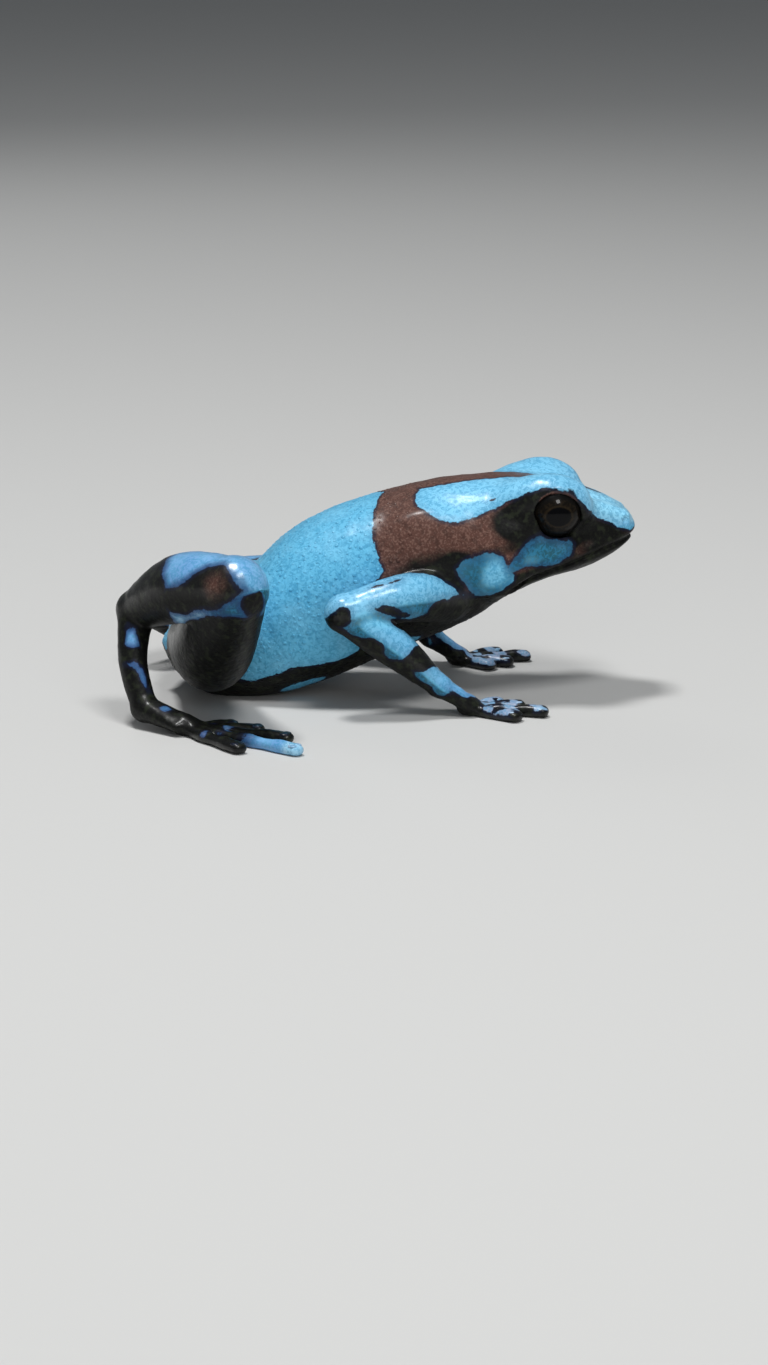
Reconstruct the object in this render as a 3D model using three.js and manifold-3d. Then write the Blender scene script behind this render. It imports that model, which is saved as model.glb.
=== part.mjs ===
// A life-size poison dart frog at rest on its four feet, head raised, one knee high, elbows out.
// Millimetres, +X ahead, +Y to the frog's left, +Z up. The floor is at z = 0.
// The frog is made whole, then parted at its joints by thin cuts, so that each part is a mesh of its own.
import * as THREE from 'three';
import { mergeVertices } from 'three/addons/utils/BufferGeometryUtils.js';
import Module from 'manifold-3d';

const wasm = await Module();
wasm.setup();

// The gap left where one part meets the next, and the height kept free for the toes under a folded leg.
const gap = 0.3;
const toeRoom = 1.5;

// Outline of head and trunk from the tip of the snout to the vent: place along the body, half width,
// height of the back, of the widest line and of the belly, and how square the section is (2 is an ellipse).
const outline = [
  [20.15, 0.0, 12.75, 12.7, 12.65, 2.0],
  [19.9, 1.6, 13.4, 12.6, 11.9, 2.2],
  [19.1, 2.55, 14.15, 12.1, 11.15, 2.4],
  [17.6, 3.4, 15.0, 11.6, 10.2, 2.5],
  [15.8, 4.2, 15.65, 11.4, 9.5, 2.5],
  [13.4, 4.95, 16.25, 11.2, 8.9, 2.5],
  [10.6, 5.4, 16.5, 11.0, 7.6, 2.4],
  [8.2, 5.3, 16.4, 10.7, 5.9, 2.3],
  [5.7, 5.5, 16.15, 10.0, 4.7, 2.2],
  [2.0, 6.0, 15.3, 8.9, 3.2, 2.2],
  [-2.0, 6.3, 14.0, 7.6, 1.4, 2.2],
  [-5.5, 6.05, 12.15, 6.5, 0.2, 2.2],
  [-8.5, 5.2, 9.4, 5.3, -0.3, 2.2],
  [-11.5, 3.9, 7.2, 4.3, -0.15, 2.1],
  [-14.0, 2.3, 5.5, 3.8, 1.5, 2.0],
  [-15.2, 0.0, 3.9, 3.8, 3.7, 2.0],
];

// The head turns a little to the left from the neck on.
const headTurn = THREE.MathUtils.degToRad(3.5);
const neck = { at: 8.4, lean: 0.3, soft: 4 };

// Features of the head. A place is given as ahead, outward, up.
const eye = { centre: [13.85, 3.75, 14.35], radius: 2.0 };
const brow = { centre: [13.05, 3.25, 15.2], size: [3.05, 2.0, 1.85] };
const socket = { size: [2.75, 1.5, 2.55] };
const lid = { out: 0.95, radius: 2.0, thick: 0.32 };
const nostril = { ahead: 19.2, height: 13.2, radius: 0.3 };
const eardrum = { ahead: 11.1, height: 12.3, size: [0.9, 0.3, 0.9] };
const mouth = { corner: 10.3, cornerHeight: 8.95, rise: 0.322, slit: 0.3, depth: 0.55, lip: 0.6, lipOut: 0.14 };

// The points that each limb bends through, as ahead, outward, up.
const limbs = {
  right: {
    shoulder: [6.0, 4.3, 8.0],
    upperArm: [3.0, 7.2, 8.6],
    elbow: [-1.4, 8.9, 7.8],
    forearm: [2.1, 8.7, 5.3],
    wrist: [5.5, 8.3, 2.3],
    palm: [7.6, 7.9, 0.9],
    hip: [-12.0, 2.4, 4.7],
    thigh: [-10.9, 8.6, 5.4],
    knee: [-9.0, 14.8, 10.8],
    shank: [-12.9, 11.5, 10.2],
    heel: [-16.5, 8.3, 8.0],
    tarsus: [-16.7, 10.2, 4.6],
    ankle: [-15.8, 11.8, 1.4],
    sole: [-12.8, 13.9, 0.7],
  },
  left: {
    shoulder: [6.0, 4.3, 8.0],
    upperArm: [3.2, 7.3, 8.3],
    elbow: [-0.9, 9.1, 7.4],
    forearm: [2.2, 9.1, 5.0],
    wrist: [5.1, 8.9, 2.2],
    palm: [7.1, 8.7, 0.9],
    hip: [-12.0, 2.4, 4.7],
    thigh: [-9.0, 7.9, 4.9],
    knee: [-5.9, 13.0, 5.6],
    shank: [-11.2, 10.4, 5.3],
    heel: [-16.2, 7.9, 4.6],
    tarsus: [-14.7, 10.3, 2.8],
    ankle: [-12.9, 12.3, 1.4],
    sole: [-9.8, 13.9, 0.7],
  },
};

// How far each hand and foot points outward, in degrees from straight ahead.
const heading = {
  right: { hand: -2, foot: 35 },
  left: { hand: 6, foot: 32 },
};

// Half width and half height of each bone's flesh at its start, middle and end.
const girth = {
  upperArm: [[1.7, 1.8], [1.75, 1.8], [1.3, 1.35]],
  forearm: [[1.3, 1.35], [1.4, 1.45], [0.85, 0.8]],
  hand: [[0.85, 0.8], [1.3, 0.62]],
  thigh: [[2.6, 2.7], [2.9, 3.3], [2.3, 2.4]],
  shank: [[2.2, 2.3], [2.4, 2.55], [1.45, 1.5]],
  tarsus: [[1.35, 1.4], [1.05, 1.1], [0.95, 0.95]],
  foot: [[0.95, 0.95], [1.4, 0.6]],
};

// Fingers and toes from the inner one outward. Spread is inward from the hand's or foot's heading and
// curve is how far the digit bends outward along its length, both in degrees.
const fingers = [
  { spread: 46, curve: 8, length: 3.9, knuckles: 1 },
  { spread: 17, curve: 4, length: 4.8, knuckles: 1 },
  { spread: -9, curve: 0, length: 6.3, knuckles: 2 },
  { spread: -38, curve: -8, length: 4.9, knuckles: 1 },
];
const toes = [
  { spread: 54, curve: 6, length: 4.2, knuckles: 1 },
  { spread: 33, curve: 4, length: 6.0, knuckles: 1 },
  { spread: 15, curve: 2, length: 8.6, knuckles: 2 },
  { spread: -3, curve: 0, length: 11.0, knuckles: 3 },
  { spread: -24, curve: -8, length: 7.8, knuckles: 2 },
];
const digit = {
  root: 0.58,
  shaft: 0.42,
  knuckle: 0.53,
  rootHeight: 0.7,
  height: 0.4,
  fingerPad: [0.75, 0.45],
  toePad: [0.6, 0.42],
};

const skinBlue = new THREE.MeshStandardMaterial({ color: 0x5db6dc, roughness: 0.45, metalness: 0 });
const skinBrown = new THREE.MeshStandardMaterial({ color: 0x5a3324, roughness: 0.5, metalness: 0 });
const skinDark = new THREE.MeshStandardMaterial({ color: 0x2a2f2c, roughness: 0.5, metalness: 0 });
const eyeBlack = new THREE.MeshStandardMaterial({ color: 0x0b0a0a, roughness: 0.05, metalness: 0 });

const vector = (p) => new THREE.Vector3(...p);
const between = (a, b) => a.map((v, k) => (v + b[k]) / 2);
const ballOf = (radius) => [radius, radius, radius];

// A place given as ahead, outward, up, on one side of the frog.
function onSide(side, [ahead, outward, height]) {
  return [ahead, side === 'right' ? -outward : outward, height];
}

// A point of the straight body, moved to where the turn of the head takes it.
function turned([x, y, z]) {
  const share = THREE.MathUtils.smoothstep(x, neck.at - neck.soft, neck.at + neck.soft);
  const angle = headTurn * share;
  const ahead = x - neck.at;
  return [
    neck.at + ahead * Math.cos(angle) - y * Math.sin(angle),
    ahead * Math.sin(angle) + y * Math.cos(angle),
    z,
  ];
}

// A geometry as a solid that can be joined and cut.
function solid(geometry) {
  const bare = geometry.clone().deleteAttribute('normal').deleteAttribute('uv');
  const merged = mergeVertices(bare, 1e-4);
  return new wasm.Manifold(new wasm.Mesh({
    numProp: 3,
    vertProperties: merged.attributes.position.array,
    triVerts: new Uint32Array(merged.index.array),
  }));
}

function meshOf(name, made, material) {
  const found = made.getMesh();
  const geometry = new THREE.BufferGeometry();
  geometry.setAttribute('position', new THREE.BufferAttribute(found.vertProperties, 3));
  geometry.setIndex(new THREE.BufferAttribute(found.triVerts, 1));
  geometry.computeVertexNormals();
  const mesh = new THREE.Mesh(geometry, material);
  mesh.name = name;
  return mesh;
}

// The values of a list of rows at a share of the way along it, on a smooth curve through them.
function along(rows, share) {
  const last = rows.length - 1;
  const at = Math.min(share * last, last - 1e-9);
  const i = Math.floor(at);
  const t = at - i;
  const [a, b, c, d] = [i - 1, i, i + 1, i + 2].map((k) => rows[Math.min(Math.max(k, 0), last)]);
  return b.map((_, k) => b[k] + 0.5 * t * (c[k] - a[k]
    + t * (2 * a[k] - 5 * b[k] + 4 * c[k] - d[k] + t * (3 * (b[k] - c[k]) + d[k] - a[k]))));
}

// Head and trunk as one body, its rings set at stations of the outline. grow thickens it all over.
function trunk(grow = 0, around = 30, rings = 36) {
  const geometry = new THREE.SphereGeometry(1, around, rings);
  const spots = geometry.attributes.position;
  for (let i = 0; i < spots.count; i++) {
    const ring = Math.floor(i / (around + 1));
    const [x, wide, back, widest, belly, square] = along(outline, ring / rings);
    const tip = ring === 0 ? 1 : ring === rings ? -1 : 0;
    const flat = Math.max(Math.hypot(spots.getX(i), spots.getZ(i)), 1e-6);
    const c = tip ? 0 : spots.getX(i) / flat;
    const s = tip ? 0 : spots.getZ(i) / flat;
    const bend = (v) => Math.sign(v) * Math.abs(v) ** (2 / square);
    const tall = s > 0 ? back - widest : widest - belly;
    spots.setXYZ(i, ...turned([x + tip * grow, -bend(c) * (wide + grow), widest + bend(s) * (tall + grow)]));
  }
  return solid(geometry);
}

// How far out the skin lies at a place along the body and a height.
function skinOut(x, z) {
  let [before, after] = [0, 1];
  while (after - before > 1e-6) {
    const middle = (before + after) / 2;
    if (along(outline, middle)[0] > x) before = middle;
    else after = middle;
  }
  const [, wide, back, widest, belly, square] = along(outline, before);
  const tall = z > widest ? back - widest : widest - belly;
  return wide * (1 - (Math.abs(z - widest) / tall) ** square) ** (1 / square);
}

// A round-ended limb through the given points, with a half width and half height at each.
function limb(points, sizes, around = 12, spans = 6, capRings = 3) {
  const rings = spans + 2 * capRings;
  const geometry = new THREE.SphereGeometry(1, around, rings);
  const spots = geometry.attributes.position;
  const up = new THREE.Vector3(0, 0, 1);
  for (let i = 0; i < spots.count; i++) {
    const ring = Math.floor(i / (around + 1));
    const share = 1 - Math.min(Math.max((ring - capRings) / spans, 0), 1);
    const frontCap = Math.max(0, 1 - ring / capRings);
    const backCap = Math.max(0, 1 - (rings - ring) / capRings);
    const centre = vector(along(points, share));
    const ahead = vector(along(points, Math.min(share + 0.02, 1)))
      .sub(vector(along(points, Math.max(share - 0.02, 0)))).normalize();
    const across = ahead.clone().cross(up).normalize();
    const raised = across.clone().cross(ahead);
    const [wide, tall] = along(sizes, share);
    const shrink = Math.cos((frontCap + backCap) * Math.PI / 2);
    const flat = Math.max(Math.hypot(spots.getX(i), spots.getZ(i)), 1e-6);
    const onPole = ring === 0 || ring === rings;
    centre.addScaledVector(ahead, Math.sin((frontCap - backCap) * Math.PI / 2) * Math.min(wide, tall));
    if (!onPole) {
      centre.addScaledVector(across, spots.getX(i) / flat * wide * shrink);
      centre.addScaledVector(raised, spots.getZ(i) / flat * tall * shrink);
    }
    spots.setXYZ(i, ...centre);
  }
  return solid(geometry);
}

function ball(centre, size, around = 16, rings = 10) {
  const geometry = new THREE.SphereGeometry(1, around, rings);
  geometry.rotateX(Math.PI / 2).scale(...size).translate(...centre);
  return solid(geometry);
}

function block(low, high) {
  const size = high.map((v, k) => v - low[k]);
  return solid(new THREE.BoxGeometry(...size).translate(...between(low, high)));
}

// A thin disc through a joint, midway between the bones that meet there, that ends above a given height.
function jointCut(before, at, after, radius, lowest = 0) {
  const back = vector(before).sub(vector(at)).normalize();
  const ahead = vector(after).sub(vector(at)).normalize();
  const normal = back.sub(ahead).normalize();
  const geometry = new THREE.CylinderGeometry(radius, radius, gap, 20);
  geometry.applyQuaternion(new THREE.Quaternion().setFromUnitVectors(new THREE.Vector3(0, 1, 0), normal));
  return solid(geometry.translate(...at)).subtract(block([-60, -60, -20], [60, 60, lowest]));
}

// The closed bodies that a cut leaves, each the large one nearest to one of the given places.
function partsNear(cut, places) {
  const bodies = cut.decompose().sort((a, b) => b.volume() - a.volume()).slice(0, places.length);
  const away = (body, place) => {
    const { min, max } = body.boundingBox();
    return vector(between([...min], [...max])).distanceTo(vector(place));
  };
  return places.map((place) => bodies.reduce((a, b) => (away(a, place) < away(b, place) ? a : b)));
}

const joined = (solids) => solids.reduce((a, b) => a.add(b));
const underFloor = block([-60, -60, -20], [60, 60, 0]);
const bodyRoom = trunk(gap);

// One finger or toe lying on the floor, with knuckles along it and a round pad at its tip.
function fingerOrToe(side, root, outward, { spread, curve, length, knuckles }, pad) {
  const steps = 2 * knuckles + 1;
  const stride = (length - pad[0]) / steps;
  const flip = side === 'right' ? -1 : 1;
  const points = [[root[0], root[1], digit.rootHeight]];
  const sizes = [[digit.root, digit.root]];
  for (let k = 1; k <= steps; k++) {
    const angle = flip * THREE.MathUtils.degToRad(outward - spread + curve * (k - 0.5) / steps);
    const [x, y] = points[k - 1];
    points.push([x + Math.cos(angle) * stride, y + Math.sin(angle) * stride, digit.height]);
    const half = k % 2 ? digit.shaft : digit.knuckle;
    sizes.push(k === steps ? pad : [half, half]);
  }
  return limb(points, sizes, 8, steps, 2);
}

// Fingers or toes fanned from the end of a hand or foot.
function fan(side, root, outward, digits, pad) {
  return digits.map((one) => fingerOrToe(side, root, outward, one, pad));
}

function pointsOf(side) {
  return Object.fromEntries(Object.entries(limbs[side]).map(([name, place]) => [name, onSide(side, place)]));
}

function makeArm(side) {
  const at = pointsOf(side);
  const whole = joined([
    limb([at.shoulder, at.upperArm, at.elbow], girth.upperArm, 14),
    limb([at.elbow, at.forearm, at.wrist], girth.forearm),
    limb([at.wrist, at.palm], girth.hand, 12, 3),
    ...fan(side, at.palm, heading[side].hand, fingers, digit.fingerPad),
  ]);
  const cut = whole
    .subtract(bodyRoom)
    .subtract(jointCut(at.upperArm, at.elbow, at.forearm, 4))
    .subtract(jointCut(at.forearm, at.wrist, at.palm, 1.8))
    .subtract(underFloor);
  return partsNear(cut, [at.upperArm, at.forearm, at.palm]);
}

function makeLeg(side) {
  const at = pointsOf(side);
  const whole = joined([
    limb([at.hip, at.thigh, at.knee], girth.thigh, 16, 8),
    limb([at.knee, at.shank, at.heel], girth.shank, 16, 8),
    limb([at.heel, at.tarsus, at.ankle], girth.tarsus),
    limb([at.ankle, at.sole], girth.foot, 12, 4),
    ...fan(side, at.sole, heading[side].foot, toes, digit.toePad),
  ]);
  const cut = whole
    .subtract(bodyRoom)
    .subtract(jointCut(at.thigh, at.knee, at.shank, 9.5, toeRoom))
    .subtract(jointCut(at.shank, at.heel, at.tarsus, 5.6, toeRoom))
    .subtract(jointCut(at.tarsus, at.ankle, at.sole, 1.9))
    .subtract(underFloor);
  return partsNear(cut, [at.thigh, at.shank, at.tarsus, at.sole]);
}

// The raised rim of the eyelids, a ring round the eye.
function lidRim(side) {
  const [x, y, z] = turned(onSide(side, [eye.centre[0], eye.centre[1] + lid.out, eye.centre[2]]));
  const geometry = new THREE.TorusGeometry(lid.radius, lid.thick, 6, 20);
  return solid(geometry.rotateX(Math.PI / 2).translate(x, y, z));
}

// A slab that slopes up from the corners of the mouth to the snout, from one height above the mouth to another.
function mouthSlab(low, high) {
  const long = outline[0][0] + 1 - mouth.corner;
  const geometry = new THREE.BoxGeometry(long / Math.cos(mouth.rise), 16, high - low);
  geometry.rotateY(-mouth.rise);
  const middle = mouth.cornerHeight + Math.tan(mouth.rise) * long / 2 + (low + high) / 2;
  return solid(geometry.translate(mouth.corner + long / 2, 0, middle));
}

function makeHeadAndTorso() {
  const slit = mouthSlab(-mouth.slit / 2, mouth.slit / 2).subtract(trunk(-mouth.depth, 20, 30));
  const lip = mouthSlab(0, mouth.lip).intersect(trunk(mouth.lipOut));
  let whole = trunk().add(lip);
  const sides = ['right', 'left'];
  for (const side of sides) {
    const drum = [eardrum.ahead, skinOut(eardrum.ahead, eardrum.height), eardrum.height];
    whole = whole
      .add(ball(turned(onSide(side, eye.centre)), socket.size))
      .add(ball(turned(onSide(side, brow.centre)), brow.size))
      .add(ball(turned(onSide(side, drum)), eardrum.size, 12, 8))
      .add(lidRim(side));
  }
  for (const side of sides) {
    const nose = [nostril.ahead, skinOut(nostril.ahead, nostril.height), nostril.height];
    whole = whole
      .subtract(ball(turned(onSide(side, eye.centre)), ballOf(eye.radius + gap)))
      .subtract(ball(turned(onSide(side, nose)), ballOf(nostril.radius), 8, 6));
  }
  const neckCut = solid(new THREE.BoxGeometry(gap, 20, 30).rotateY(-neck.lean).translate(neck.at, 0, 10));
  const cut = whole.subtract(slit).subtract(neckCut).subtract(underFloor);
  return partsNear(cut, [[14, 0, 12], [-2, 0, 7]]);
}

const frog = new THREE.Group();
const [head, torso] = makeHeadAndTorso();
frog.add(meshOf('head', head, skinBrown));
frog.add(meshOf('torso', torso, skinBlue));
for (const side of ['right', 'left']) {
  frog.add(meshOf(`eye_${side}`, ball(turned(onSide(side, eye.centre)), ballOf(eye.radius)), eyeBlack));
  const [upperArm, forearm, hand] = makeArm(side);
  frog.add(meshOf(`upper_arm_${side}`, upperArm, skinBlue));
  frog.add(meshOf(`forearm_${side}`, forearm, skinBlue));
  frog.add(meshOf(`hand_${side}`, hand, skinDark));
  const [thigh, shank, tarsus, foot] = makeLeg(side);
  frog.add(meshOf(`thigh_${side}`, thigh, skinBlue));
  frog.add(meshOf(`shank_${side}`, shank, skinBlue));
  frog.add(meshOf(`tarsus_${side}`, tarsus, skinDark));
  frog.add(meshOf(`foot_${side}`, foot, skinDark));
}

// The origin is under the middle of the whole frog, on the floor.
const extent = new THREE.Box3().setFromObject(frog);
frog.position.set(-(extent.min.x + extent.max.x) / 2, -(extent.min.y + extent.max.y) / 2, -extent.min.z);

export default frog;
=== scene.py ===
import math

import bpy
import numpy as np
import openvdb as vdb
from mathutils import Matrix, Vector, noise


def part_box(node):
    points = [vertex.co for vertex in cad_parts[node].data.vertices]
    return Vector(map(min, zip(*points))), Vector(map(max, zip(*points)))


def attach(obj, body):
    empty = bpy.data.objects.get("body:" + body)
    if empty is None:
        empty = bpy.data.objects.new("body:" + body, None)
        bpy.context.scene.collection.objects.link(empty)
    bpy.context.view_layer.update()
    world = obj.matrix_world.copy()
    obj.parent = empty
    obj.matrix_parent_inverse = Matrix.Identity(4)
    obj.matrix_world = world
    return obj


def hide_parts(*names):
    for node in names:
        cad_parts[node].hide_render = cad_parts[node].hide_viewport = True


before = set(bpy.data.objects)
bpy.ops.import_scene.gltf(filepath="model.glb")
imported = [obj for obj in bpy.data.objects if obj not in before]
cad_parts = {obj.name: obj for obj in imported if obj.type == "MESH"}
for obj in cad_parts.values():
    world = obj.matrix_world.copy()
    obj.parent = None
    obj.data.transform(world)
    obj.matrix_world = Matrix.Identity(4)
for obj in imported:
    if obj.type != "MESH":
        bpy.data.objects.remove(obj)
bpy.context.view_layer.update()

# Millimetres until a mesh is set into the frame, +X ahead, +Y to the frog's left, +Z up, the floor at 0.
# The frog is shaped as one field of distances to its skin, so that a single skin covers trunk and limbs.
sides = ["right", "left"]
body = {
    # place along, half width, height of back, of widest line and of belly, squareness of the section
    "outline": [
        [20.15, 0.0, 12.75, 12.7, 12.65, 2.0],
        [19.9, 1.6, 13.4, 12.6, 11.9, 2.2],
        [19.1, 2.55, 14.15, 12.1, 11.15, 2.4],
        [17.6, 3.4, 15.0, 11.6, 10.2, 2.5],
        [15.8, 4.2, 15.65, 11.4, 9.5, 2.5],
        [13.4, 4.95, 16.25, 11.2, 8.9, 2.5],
        [10.6, 5.4, 16.5, 11.0, 7.6, 2.4],
        [8.2, 5.3, 16.4, 10.7, 5.9, 2.3],
        [5.7, 5.5, 16.15, 10.0, 4.7, 2.2],
        [2.0, 6.0, 15.3, 8.9, 3.2, 2.2],
        [-2.0, 6.3, 14.0, 7.6, 1.4, 2.2],
        [-5.5, 6.05, 12.15, 6.5, 0.2, 2.2],
        [-8.5, 5.2, 9.4, 5.3, -0.3, 2.2],
        [-11.5, 3.9, 7.2, 4.3, -0.15, 2.1],
        [-14.0, 2.3, 5.5, 3.8, 1.5, 2.0],
        [-15.2, 0.0, 3.9, 3.8, 3.7, 2.0],
    ],
    "headTurn": math.radians(3.5),
    "neckAt": 8.4,
    "neckSoft": 4.0,
}
eye = {
    "centre": [13.85, 3.75, 14.35],
    "radius": 2.0,
    "lidThick": 0.24,
    "opening": 0.34,
    "lidFacing": [0.08, 0.95, -0.3],
    "gap": 0.08,  # from the eyeball to the flesh within the lids' opening
    "under": 0.2,  # how far the flesh reaches under the eyeball's surface
}
# The lines of the face are rises and dips of the skin, as height, distance and width.
face = [[15.5, 0, 11.5], [6.5, 7.0, 5.0]]  # where they lie: centre and reach
mouth = {
    "corner": 10.3,
    "cornerHeight": 8.95,
    "rise": 0.322,
    "sag": 0.35,
    "sagReach": 3.0,
    "lips": [[0.1, 0.42, 0.3], [0.07, -0.4, 0.28], [-0.26, 0, 0.16]],
}
nostril = {"ahead": 19.2, "height": 13.25, "rises": [[0.06, 0.4, 0.2], [-0.36, 0, 0.24]]}
eardrum = {"ahead": 11.1, "height": 12.3, "rises": [[0.04, 0.85, 0.18], [-0.06, 0, 0.62]]}

# Soft forms of head and trunk as centre (ahead, outward, up), half sizes and softness
forms = {
    "eye mound": [[13.85, 3.75, 14.35], [2.75, 1.5, 2.55], 0.9],
    "brow": [[12.9, 3.15, 15.1], [3.2, 1.95, 1.75], 1.1],
    "hollow before the eye": [[16.9, 4.65, 12.7], [1.8, 1.0, 1.0], 0.8],
    "jaw muscle": [[9.6, 4.6, 9.9], [2.0, 1.0, 1.6], 0.9],
    "shoulder blade": [[4.8, 4.1, 12.0], [2.8, 1.1, 2.4], 1.4],
    "hollow before the arm": [[7.6, 6.0, 8.0], [0.8, 0.9, 2.0], 0.7],
}
# Rounded ridges and grooves as start, end, radius at both and softness
ridges = {
    "snout edge": [[16.0, 3.0, 14.5], [19.1, 1.75, 13.5], [0.6, 0.42], 0.7],
    "fold over the eardrum": [[12.2, 4.7, 13.6], [8.6, 4.9, 11.6], [0.35, 0.3], 1.0],
    "groove behind the arm": [[1.2, 6.25, 9.4], [2.6, 6.2, 5.6], [0.16, 0.16], 0.5],
    "groove of the groin": [[-7.9, 5.6, 7.9], [-6.6, 6.25, 4.4], [0.2, 0.2], 0.6],
    "groove of the throat": [[8.6, 4.4, 7.6], [9.6, 2.2, 6.6], [0.16, 0.16], 0.5],
}
carvings = ["hollow", "groove"]  # what is named so is taken away

limbs = {
    "right": {
        "shoulder": [6.0, 4.3, 8.0],
        "upperArm": [3.0, 7.2, 8.6],
        "elbow": [-1.4, 8.9, 7.8],
        "forearm": [2.1, 8.7, 5.3],
        "wrist": [5.5, 8.3, 2.3],
        "palm": [7.6, 7.9, 0.9],
        "hip": [-12.0, 2.4, 4.7],
        "thigh": [-10.9, 8.6, 5.4],
        "knee": [-9.0, 14.8, 10.8],
        "shank": [-12.9, 11.5, 10.2],
        "heel": [-16.5, 8.3, 8.0],
        "tarsus": [-16.7, 10.2, 4.6],
        "ankle": [-15.8, 11.8, 1.4],
        "sole": [-12.8, 13.9, 0.7],
        "handPoints": -2,
        "footPoints": 35,
    },
    "left": {
        "shoulder": [6.0, 4.3, 8.0],
        "upperArm": [3.2, 7.3, 8.3],
        "elbow": [-0.9, 9.1, 7.4],
        "forearm": [2.2, 9.1, 5.0],
        "wrist": [5.1, 8.9, 2.2],
        "palm": [7.1, 8.7, 0.9],
        "hip": [-12.0, 2.4, 4.7],
        "thigh": [-9.0, 7.9, 4.9],
        "knee": [-5.9, 13.0, 5.6],
        "shank": [-11.2, 10.4, 5.3],
        "heel": [-16.2, 7.9, 4.6],
        "tarsus": [-14.7, 10.3, 2.8],
        "ankle": [-12.9, 12.3, 1.4],
        "sole": [-9.8, 13.9, 0.7],
        "handPoints": 6,
        "footPoints": 32,
    },
}
bones = {  # the points each length of limb bends through
    "upperArm": ["shoulder", "upperArm", "elbow"],
    "forearm": ["elbow", "forearm", "wrist"],
    "hand": ["wrist", "palm"],
    "thigh": ["hip", "thigh", "knee"],
    "shank": ["knee", "shank", "heel"],
    "tarsus": ["heel", "tarsus", "ankle"],
    "foot": ["ankle", "sole"],
}
girth = {  # half width and half height at start, middle and end
    "upperArm": [[1.7, 1.8], [1.75, 1.8], [1.3, 1.35]],
    "forearm": [[1.3, 1.35], [1.4, 1.45], [0.85, 0.8]],
    "hand": [[0.85, 0.8], [1.3, 0.62]],
    "thigh": [[2.6, 2.7], [2.9, 3.3], [2.3, 2.4]],
    "shank": [[2.2, 2.3], [2.4, 2.55], [1.45, 1.5]],
    "tarsus": [[1.35, 1.4], [1.05, 1.1], [0.95, 0.95]],
    "foot": [[0.95, 0.95], [1.4, 0.6]],
}
# from the inner digit outward: degrees inward from where hand or foot points, bend outward, length, knuckles
fingers = [[46, 8, 3.9, 1], [17, 4, 4.8, 1], [-9, 0, 6.3, 2], [-38, -8, 4.9, 1]]
toes = [[54, 6, 4.2, 1], [33, 4, 6.0, 1], [15, 2, 8.6, 2], [-3, 0, 11.0, 3], [-24, -8, 7.8, 2]]
digit = {  # half widths, heights of its middle line, and half width and half height of its disc
    "root": 0.58,
    "shaft": 0.42,
    "knuckle": 0.53,
    "rootHeight": 0.7,
    "height": 0.4,
    "fingerPad": [0.75, 0.45],
    "toePad": [0.6, 0.42],
    "spans": 12,  # rings from one of its points to the next, in each end, and points around a ring
    "caps": 7,
    "around": 20,
}
# softness and reach of each bend; place, softness and reach of the web between digits and of the root
chains = {
    "arm": {
        "bones": ["upperArm", "forearm", "hand"],
        "bends": {"elbow": (0.8, 2.0), "wrist": (0.6, 1.4)},
        "digits": "finger",
        "web": ("palm", 0.45, 1.9),
        "root": ("shoulder", 1.1, 3.0),
    },
    "leg": {
        "bones": ["thigh", "shank", "tarsus", "foot"],
        "bends": {"knee": (0.9, 2.4), "heel": (0.7, 1.7), "ankle": (0.5, 1.4)},
        "digits": "toe",
        "web": ("sole", 0.45, 2.2),
        "root": ("hip", 1.4, 3.8),
    },
}
# how soft the creases are between bones, between digits, between limb and trunk, and along the floor
creases = {"bone": 0.12, "digit": 0.06, "limb": 0.15, "floor": 0.08}
fieldGrid = {"voxel": 0.135, "band": 12, "low": (-20.0, -23.5, -1.5), "high": (22.5, 23.5, 19.0)}
skinFaces = 192000


def smoothStep(value, low, high):
    t = np.clip((value - low) / (high - low), 0, 1)
    return t * t * (3 - 2 * t)


def throughFour(a, b, c, d, t):
    # a smooth curve from b to c, as it comes from a and goes on to d
    return b + 0.5 * t * (c - a + t * (2 * a - 5 * b + 4 * c - d + t * (3 * (b - c) + d - a)))


def along(rows, shares):
    # rows of a list read at shares of the way along it, on a smooth curve through them
    rows = np.asarray(rows, float)
    last = len(rows) - 1
    at = np.clip(np.asarray(shares, float) * last, 0, last - 1e-9)
    i = at.astype(int)
    return throughFour(*(rows[np.clip(i + k, 0, last)] for k in (-1, 0, 1, 2)), (at - i)[:, None])


def ringThrough(rows, steps=8):
    # a closed smooth curve through a few points
    rows = np.asarray(rows, float)
    at = np.arange(len(rows) * steps) / steps
    i = at.astype(int)
    return throughFour(*(rows[(i + k) % len(rows)] for k in (-1, 0, 1, 2)), (at - i)[:, None])


def onSide(side, place):
    ahead, outward, up = place
    return np.array([ahead, -outward if side == "right" else outward, up], float)


def turned(places, back=False):
    # the turn of the head to the left, or back from it
    places = np.atleast_2d(np.asarray(places, float))
    moved = places.copy()
    for _ in range(4 if back else 1):
        share = smoothStep(moved[:, 0], body["neckAt"] - body["neckSoft"], body["neckAt"] + body["neckSoft"])
        angle = body["headTurn"] * share * (-1 if back else 1)
        ahead = places[:, 0] - body["neckAt"]
        moved[:, 0] = body["neckAt"] + ahead * np.cos(angle) - places[:, 1] * np.sin(angle)
        moved[:, 1] = ahead * np.sin(angle) + places[:, 1] * np.cos(angle)
    return moved


def headPlace(side, place):
    return turned(onSide(side, place))[0]


# The grid that the distances are kept on
voxel = fieldGrid["voxel"]
farOff = voxel * fieldGrid["band"]
gridLow = np.floor(np.array(fieldGrid["low"]) / voxel).astype(int)
gridCount = np.ceil(np.array(fieldGrid["high"]) / voxel).astype(int) - gridLow
gridAxes = []
for k in range(3):
    line = ((gridLow[k] + np.arange(gridCount[k])) * voxel).astype(np.float32)
    gridAxes.append(line.reshape([-1 if j == k else 1 for j in range(3)]))


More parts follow.
